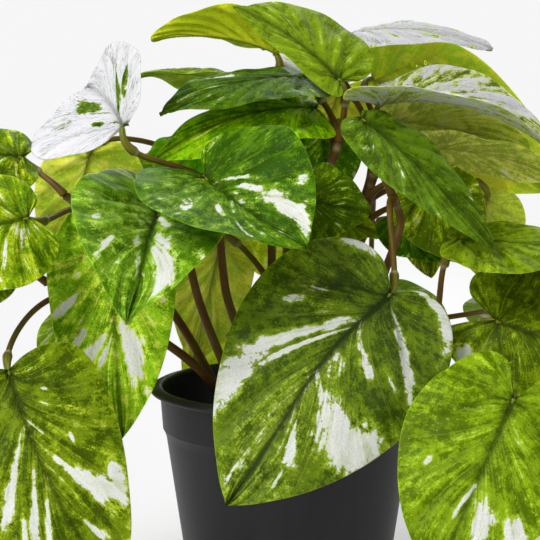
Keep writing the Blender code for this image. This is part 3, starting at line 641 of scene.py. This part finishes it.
def stalk_path(row, start, ahead, steps):
    """A leaf stalk from its vine to the base of the blade."""
    ends, normals, _, _ = blade(row, np.array([0.0, 0.03]), np.array([0.0, 0.0]))
    under = Vector(normals[0])
    forward = Vector(ends[1] - ends[0]).normalized()
    arrive = (forward * 0.75 + under * 0.65).normalized()
    end = Vector(ends[0]) - forward * 0.6 - under * (LEAF_THICKNESS / 2 + GAP + STALK_END_RADIUS * 0.9)
    reach = (end - start).length * row["stalk"]
    leave = (ahead * 0.8 + (end - start).normalized() + Vector((0, 0, 0.4))).normalized()
    a, b = start + leave * reach, end - arrive * reach
    path = []
    for k in range(steps + 1):
        u = k / steps
        path.append(start * (1 - u) ** 3 + a * 3 * u * (1 - u) ** 2 + b * 3 * u * u * (1 - u) + end * u ** 3)
    return path + [Vector(ends[0]) + forward * 2.2 - under * 0.55]


def tube_rings(path, radii, sides):
    """Rings of points round a path, carried along it without spinning."""
    rings = []
    side = (path[1] - path[0]).orthogonal().normalized()
    for k, centre in enumerate(path):
        ahead = (path[min(k + 1, len(path) - 1)] - path[max(k - 1, 0)]).normalized()
        side = (side - ahead * side.dot(ahead)).normalized()
        other = ahead.cross(side)
        turns = [2 * math.pi * n / sides for n in range(sides)]
        rings.append([centre + (side * math.cos(t) + other * math.sin(t)) * radii[k] for t in turns])
    return rings


def lengths_along(path):
    """Distance along a path at each of its points."""
    steps = [(b - a).length for a, b in zip(path, path[1:])]
    return np.concatenate([[0], np.cumsum(steps)])


def wrap_rings(rows, ring):
    """Quads between neighbouring rings of points, all round."""
    k = np.arange(ring)
    after = (k + 1) % ring
    starts = (np.arange(rows - 1) * ring)[:, None]
    quads = np.stack([starts + k, starts + after, starts + ring + after, starts + ring + k], -1)
    return quads.reshape(-1, 4)


def point_at_corners(mesh):
    """The index of the point at each face corner."""
    corners = np.zeros(len(mesh.loops), np.int32)
    mesh.loops.foreach_get("vertex_index", corners)
    return corners


def paint_uv(mesh, name, values):
    """A UV layer from a pair of values at each face corner."""
    mesh.uv_layers.new(name=name).data.foreach_set("uv", values.astype(np.float32).ravel())


stem_skin, stem_shader, start = new_material("stem_skin")
grow = start.node("ShaderNodeUVMap", {"uv_map": "grow"}, {})
length_along, turn_share = grow.part(0), grow.part(1)
state = start.node("ShaderNodeUVMap", {"uv_map": "state"}, {})
green_share, ring_share = state.part(0), state.part(1)
place = start.node("ShaderNodeTexCoord", {}, {}, 3)
grain = (length_along * 0.12).join(turn_share * 14, place.part(2) * 6).noise(1, 4)
blotch = place.noise(70, 5)
olive = blotch.rise(0.35, 0.65).mix((0.120, 0.048, 0.009), (0.15, 0.095, 0.012))
green = grain.rise(0.3, 0.7).mix((0.13, 0.16, 0.010), (0.22, 0.26, 0.020))
skin_colour = green_share.rise(0.35, 1.0).mix(olive, green)
skin_colour = ((1 - grain.rise(0.35, 0.55)) * 0.4).mix(skin_colour, (0.055, 0.030, 0.006))
skin_colour = (ring_share * 0.8).mix(skin_colour, (0.36, 0.37, 0.16))
connect(skin_colour, stem_shader.inputs["Base Color"])
connect(0.32 + grain * 0.2, stem_shader.inputs["Roughness"])
connect(bump(grain + blotch * 0.5, 0.35, 0.0005), stem_shader.inputs["Normal"])
stem_shader.inputs["Specular IOR Level"].default_value = 0.14

VINE_STEPS = 14
STALK_STEPS = 40
STEM_SIDES = 18
for vine_name, (foot, *rest) in VINES.items():
    level = soil_level(*foot)
    start_point = Vector((*foot, level + 3))
    above = smooth_route([start_point] + [Vector(p) for p in rest], 2)
    route = [Vector((*foot, level - SOCKET_DEPTH))] + above
    fine = [route[0]] + smooth_route(route[1:], VINE_STEPS // 2)
    distance_up = lengths_along(fine)
    own_leaves = [row for row in LEAVES if row["vine"] == vine_name]
    joints = []
    stems = []
    for row in own_leaves:
        last = len(route) - 1
        spot = min(int(row["along"] * last), last - 1)
        start_at = route[spot].lerp(route[spot + 1], min(row["along"] * last - spot, 0.98))
        ahead = (route[spot + 1] - route[spot]).normalized()
        nearest = min(range(len(fine)), key=lambda k: (fine[k] - start_at).length)
        joints.append(distance_up[nearest])
        path = stalk_path(row, start_at, ahead, STALK_STEPS)
        far = lengths_along(path)
        to_leaf = far[-1] - far
        collar = min(COLLAR_BELOW_LEAF, 0.45 * far[-1])
        swollen = np.clip((collar - to_leaf) / 1.2, 0, 1)
        beyond = np.clip(1 - to_leaf / collar, 0, 1)
        sheath = SHEATH_THICKNESS * np.exp(-far / SHEATH_LENGTH)
        radii = ((STALK_RADIUS - 0.1 + sheath) * (1 - swollen)
                 + (COLLAR_RADIUS - (COLLAR_RADIUS - STALK_END_RADIUS) * beyond ** 0.8) * swollen)
        ring = np.exp(-((to_leaf - collar + 0.6) / RING_LENGTH) ** 2)
        radii = radii + RING_HEIGHT * ring
        radii[-1] = 0.4
        greenness = np.clip(0.25 + 0.4 * far / far[-1] + 0.35 * beyond, 0, 1)
        stems.append((path, radii, far, greenness, ring))
    radii = VINE_RADIUS + (VINE_TOP_RADIUS - VINE_RADIUS) * distance_up / distance_up[-1]
    rings_here = np.zeros(len(fine))
    for joint in joints:
        radii = radii + JOINT_SWELLING * np.exp(-((distance_up - joint) / JOINT_LENGTH) ** 2)
        rings_here += 0.5 * np.exp(-((distance_up - joint + 3) / 0.8) ** 2)
    radii = np.minimum(radii, VINE_RADIUS + 0.6)
    radii[-1] *= 0.5
    greenness = 0.25 * distance_up / distance_up[-1]
    stems.append((fine, radii, distance_up, greenness, np.clip(rings_here, 0, 1)))
    points, faces, grow_values, state_values = [], [], [], []
    for path, widths, far, greenness, ring in stems:
        first = len(points)
        rings = tube_rings(path, widths, STEM_SIDES)
        for k, circle in enumerate(rings):
            points += [tuple(p) for p in circle]
            grow_values += [(far[k], n / STEM_SIDES) for n in range(STEM_SIDES)]
            state_values += [(greenness[k], ring[k])] * STEM_SIDES
        faces += [tuple(int(first + v) for v in quad) for quad in wrap_rings(len(path), STEM_SIDES)]
        faces.append(tuple(range(first + STEM_SIDES - 1, first - 1, -1)))
        faces.append(tuple(range(len(points) - STEM_SIDES, len(points))))
    vine = add_mesh(vine_name + "_stem", points, faces, stem_skin)
    corners = point_at_corners(vine.data)
    paint_uv(vine.data, "grow", np.array(grow_values)[corners])
    paint_uv(vine.data, "state", np.array(state_values)[corners])
    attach(vine, "root")
    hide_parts(vine_name)

# ---------------------------------------------------------------- leaves
# Forty-six thin heart-shaped blades, each grown to a point, with a grooved midrib and side veins
# that the blade quilts between. The skin is waxy and mottled green, and lime or cream in ragged
# patches along the side veins. Shade is painted darker into the midrib, the first side veins, their
# hollows and the valleys between the quilts. The underside is paler and dull.
SIDE_VEINS = 8
VEIN_BOW = 0.38
VEIN_CURVE = 2.2
FIRST_VEIN_START = 0.05         # the two deep veins that leave the notch
FIRST_VEIN_SWEEP = 0.36
FIRST_VEIN_WIDTH = 0.036
FIRST_VEIN_DEPTH = 1.6
QUILTING = 1.5
MIDRIB_WIDTH = 1.2
MIDRIB_DEPTH = 0.8
RIB_BELOW = 0.55                # how far the midrib stands out underneath
MARGIN_WAVE = 0.45
MARGIN_STARTS = 0.975
LEAF_ROWS = 72
# Where the columns of points lie on half a blade, closer together by the midrib and by the margin
COLUMN_PLACES = [0, 0.012, 0.026, 0.045, 0.07, 0.11, 0.16, 0.23, 0.31, 0.39, 0.47, 0.55, 0.63, 0.71, 0.78,
                 0.845, 0.90, 0.945, 0.975, 0.992]


def shade(*levels):
    """A colour as it looks on a screen, red, green and blue from 0 to 255, turned into light."""
    return tuple(c / 255 / 12.92 if c < 10 else ((c / 255 + 0.055) / 1.055) ** 2.4 for c in levels)


TONES = {
    "deep": (shade(62, 84, 2), shade(112, 140, 14), shade(164, 188, 46)),
    "middle": (shade(66, 106, 4), shade(114, 156, 30), shade(170, 202, 76)),
    "glossy": (shade(50, 88, 2), shade(90, 136, 8), shade(146, 184, 38)),
    "fresh": (shade(84, 110, 3), shade(130, 162, 18), shade(172, 200, 54)),
    "yellow": (shade(96, 122, 6), shade(164, 188, 44), shade(228, 240, 110)),
}
CREAM = shade(226, 227, 221)
CREAM_SHADED = shade(198, 206, 176)
SILVER = shade(225, 224, 228)
SILVER_SHADED = shade(150, 154, 154)
# A dark green that is painted into grooves, hollows and creases as shade.
SHADE_GREEN = shade(34, 48, 1)


def leaf_skin(name, seed, tone, bright, cream, lime=0.2, tint=(1, 1), sheen=0.05, rib=0.65, silver=0,
              patches=(), islands=()):
    """The material of one leaf."""
    material, shader, start = new_material(name)
    flow = start.node("ShaderNodeUVMap", {"uv_map": "flow"}, {})
    flat = start.node("ShaderNodeUVMap", {"uv_map": "flat"}, {})
    skin = start.node("ShaderNodeUVMap", {"uv_map": "skin"}, {})
    relief = start.node("ShaderNodeUVMap", {"uv_map": "relief"}, {})
    vein, across = flow.part(0), flow.part(1)
    out, ahead = flat.part(0), flat.part(1)
    under, edge = skin.part(0), skin.part(1)
    groove, swell = relief.part(0), relief.part(1)
    half = across.math("SIGN") * 3.7 + seed
    streaks = (vein * 34).join(across * 2.2, half).noise(1, 5, 0.68)
    bands = (vein * 8).join(across * 1.4, half).noise(1, 2, 0.5)
    place = out.join(ahead, float(seed))
    clouds = place.noise(0.085, 4, 0.65)
    grain = place.noise(1.3, 3, 0.75)
    freckles = place.noise(0.9, 2, 0.6)
    clumps = place.noise(0.27, 3, 0.55)
    weave = (out * 2.6).join(ahead * 2.6, float(seed)).noise(1, 1, 0.4)
    fibre = (vein * 170).join(across * 10, half).noise(1, 2)

    def patch(at, beside, reach, spread, slant, fullness=2):
        """1.6 in the middle of a patch, 0 at its rim, falling away outside, and never above its fullness."""
        s = (vein - at - (across - beside) * slant) / reach
        a = (across - beside) / spread
        return ((1 - (s * s + a * a).math("SQRT")) * 1.6).smallest(fullness)

    # cream parts, with a lime fringe
    field = (bands * 0.55 + streaks * 0.45 - (0.70 - 0.40 * cream)) * 7
    for cream_patch in patches:
        field = field.largest(patch(*cream_patch))
    for island in islands:
        field = field.smallest(patch(*island) * -1)
    ragged = field + (streaks - 0.5) * 2.8 + (clumps - 0.5) * 2.4 + (freckles - 0.5) * 0.9
    creamy = ragged.rise(0.0, 0.3)
    fringe = (ragged + 0.5 + (grain - 0.5) * 2.4).rise(0.0, 0.5)

    # three greens, blotched along the veins
    # The tint is fitted leaf by leaf to how brightly each leaf is lit, so it paints light and shade into the
    # greens as well as setting their hue.
    dark, light, yellowish = [tuple(min(c * t, 0.9) for c, t in zip(green, (*tint, 1)))
                              for green in TONES[tone]]
    near_cream = (field + 1.8).rise(0.0, 1.8)
    blotches = clouds * 0.35 + streaks * 0.35 + clumps * 0.3 + (grain - 0.5) * 0.3
    middle = 0.5 + (0.5 - bright) * 0.30
    colour = (blotches + near_cream * 0.08).rise(middle - 0.06, middle + 0.06).mix(dark, light)
    sprinkle = clumps * 0.5 + streaks * 0.5 + (grain - 0.5) * 0.4 + near_cream * 0.13 - 0.03
    start_of_lime = 0.5 + (0.5 - lime) * 0.34
    colour = (sprinkle.rise(start_of_lime, start_of_lime + 0.09) * 0.8).mix(colour, yellowish)
    colour = (freckles.rise(0.64, 0.70) * 0.5).mix(colour, yellowish)
    threads = (vein * 75).join(across * 4, half).noise(1, 3, 0.7)
    colour = (threads.rise(0.58, 0.70) * clouds.rise(0.42, 0.6) * 0.6).mix(colour, light)
    colour = (fringe * 0.85).mix(colour, yellowish)
    near_vein = (vein * SIDE_VEINS + 0.5).math("PINGPONG", 0.5)
    vein_line = (1 - near_vein.rise(0.012, 0.05)) * (1 - abs(across).rise(0.7, 1.0)) * fibre.rise(0.35, 0.6)
    colour = (vein_line * 0.35).mix(colour, yellowish)
    pale = streaks.rise(0.34, 0.56).mix(CREAM_SHADED, CREAM)
    if silver:
        scratches = fibre * 0.5 + streaks * 0.5
        greys = [tuple(c * silver for c in grey) for grey in (SILVER_SHADED, SILVER)]
        pale = scratches.rise(0.36, 0.50).mix(*greys)
    colour = creamy.mix(colour, pale)

    # painted shade in the midrib, the first side veins and the hollows along them; pale margin, paler
    # underside
    midrib_shade = (1 - (abs(out) / (1.5 - vein)).rise(0.35, 1.1)) * (rib - vein * 0.65)
    beside = abs(across)
    off_first_vein = abs(vein + FIRST_VEIN_START - beside * beside * FIRST_VEIN_SWEEP)
    first_vein_shade = 1 - off_first_vein.rise(0.003, 0.022)
    colour = (first_vein_shade * (1 - beside.rise(0.25, 0.8)) * (rib - 0.3)).mix(colour, SHADE_GREEN)
    colour = (groove * (rib - creamy * 0.45)).mix(colour, SHADE_GREEN)
    colour = midrib_shade.mix(colour, SHADE_GREEN)
    # Painted shade in the valleys between the quilted swells, less on cream.
    colour = ((1 - swell) * 0.36 * (1 - creamy * 0.8)).mix(colour, SHADE_GREEN)
    colour = (edge.rise(0.4, 1.0) * 0.4).mix(colour, yellowish)
    underside = (0.35 - creamy * 0.2).mix(colour, yellowish)
    colour = under.mix(colour, underside)
    # Painted shade in the low spots of the fine weave, where the bump also sinks.
    colour = ((1 - weave.rise(0.25, 0.6)) * 0.22).mix(colour, SHADE_GREEN)
    connect(colour, shader.inputs["Base Color"])
    connect(0.27 + grain * 0.16 + under * 0.25 + fibre * 0.1, shader.inputs["Roughness"])
    height = fibre * 0.5 + weave * 0.5 + clumps * 1.6 + threads * 0.8
    connect(bump(height, 0.6, 0.0004), shader.inputs["Normal"])
    shader.inputs["Specular IOR Level"].default_value = sheen
    shader.inputs["Subsurface Weight"].default_value = 0.8 if tone == "yellow" else 0.2
    shader.inputs["Subsurface Radius"].default_value = (0.8, 1.0, 0.2)
    shader.inputs["Subsurface Scale"].default_value = 0.001
    return material


# Points run round each blade from its upper face to its lower one, in rows that crowd at notch and tip
inner = np.array(COLUMN_PLACES)
upper = np.concatenate([-inner[:0:-1], inner])
ring_across = np.concatenate([[-1.0], upper, [1.0], upper[::-1]])
ring_side = np.concatenate([[0.0], np.ones(len(upper)), [0.0], -np.ones(len(upper))])
row_shares = 0.5 - 0.5 * np.cos(np.linspace(0.045, math.pi - 0.03, LEAF_ROWS))
row_shares = 0.5 * row_shares + 0.5 * np.linspace(0.002, 0.999, LEAF_ROWS)
for number, row in enumerate(LEAVES, 1):
    share, across = np.meshgrid(row_shares, ring_across, indexing="ij")
    side = np.broadcast_to(ring_side, share.shape)
    bowed = row["bow"] * np.sin(math.pi * share)
    middle, normals, out, far = blade(row, share, across + bowed * (1 - np.abs(across)))
    out = out - blade(row, share, bowed)[2]
    beside = np.abs(across)
    vein = share - VEIN_BOW * (1 - np.exp(-VEIN_CURVE * beside)) / (1 - math.exp(-VEIN_CURVE))
    ends = np.clip(share * (1 - share) * 60, 0, 1) ** 0.5
    thick = LEAF_THICKNESS / 2 * np.sqrt(np.clip(1 - beside ** 12, 0.05, 1)) * ends
    window = (4 * beside * (1 - beside)) ** 0.6 * ends
    swell = 0.5 - 0.5 * np.cos(2 * math.pi * (SIDE_VEINS * vein + 0.5 + 0.08 * np.sin(7 * across + number)))
    off_first_vein = vein + FIRST_VEIN_START - FIRST_VEIN_SWEEP * beside ** 2
    first_vein = np.exp(-(off_first_vein / FIRST_VEIN_WIDTH) ** 2) * window * (1 - beside ** 3)
    midrib = np.exp(-(out / MIDRIB_WIDTH) ** 2) * ends * (1 - 0.5 * share)
    lift = QUILTING * (swell ** 0.7 - 0.5) * window - FIRST_VEIN_DEPTH * first_vein - MIDRIB_DEPTH * midrib
    lift += MARGIN_WAVE * beside ** 4 * np.sin(31 * share + number + 2 * across) * ends
    rib = -RIB_BELOW * np.exp(-out ** 2) * (1 - share) * (side < 0)
    points = middle + normals * (side * thick + lift + rib)[..., None]
    ring = len(ring_across)
    quads = wrap_rings(LEAF_ROWS, ring)
    count = LEAF_ROWS * ring
    faces = [tuple(quad) for quad in quads.tolist()]
    faces += [tuple(range(ring - 1, -1, -1)), tuple(range(count - ring, count))]
    blade_piece = add_mesh(f"leaf_{number:02d}_blade", points.reshape(-1, 3), faces,
                           leaf_skin(f"leaf_skin_{number:02d}", number * 11.3, **row["look"]))
    mesh = blade_piece.data
    corners = point_at_corners(mesh)
    paint_uv(mesh, "flow", np.stack([vein, across], -1).reshape(-1, 2)[corners])
    paint_uv(mesh, "flat", np.stack([out, far], -1).reshape(-1, 2)[corners])
    # How deep each spot lies in the midrib and first vein hollows; the skin paints it darker there as shade.
    midrib_hollow = np.exp(-(out / (3.2 - 2.2 * share)) ** 2)
    hollow = np.clip(first_vein * 0.7 + midrib_hollow * 0.85, 0, 1)
    paint_uv(mesh, "relief", np.stack([hollow, 1 - (1 - swell) * window], -1).reshape(-1, 2)[corners])
    lower_face = (quads[:, 0] % ring) >= len(upper) + 1
    lower_corner = np.repeat(np.concatenate([lower_face, [0, 0]]), [4] * len(quads) + [ring, ring])
    near_edge = (beside.reshape(-1)[corners] - MARGIN_STARTS) / (1 - MARGIN_STARTS)
    paint_uv(mesh, "skin", np.stack([lower_corner, np.clip(near_edge, 0, 1)], -1))
    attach(blade_piece, "root")
    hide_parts(f"leaf_{number:02d}")
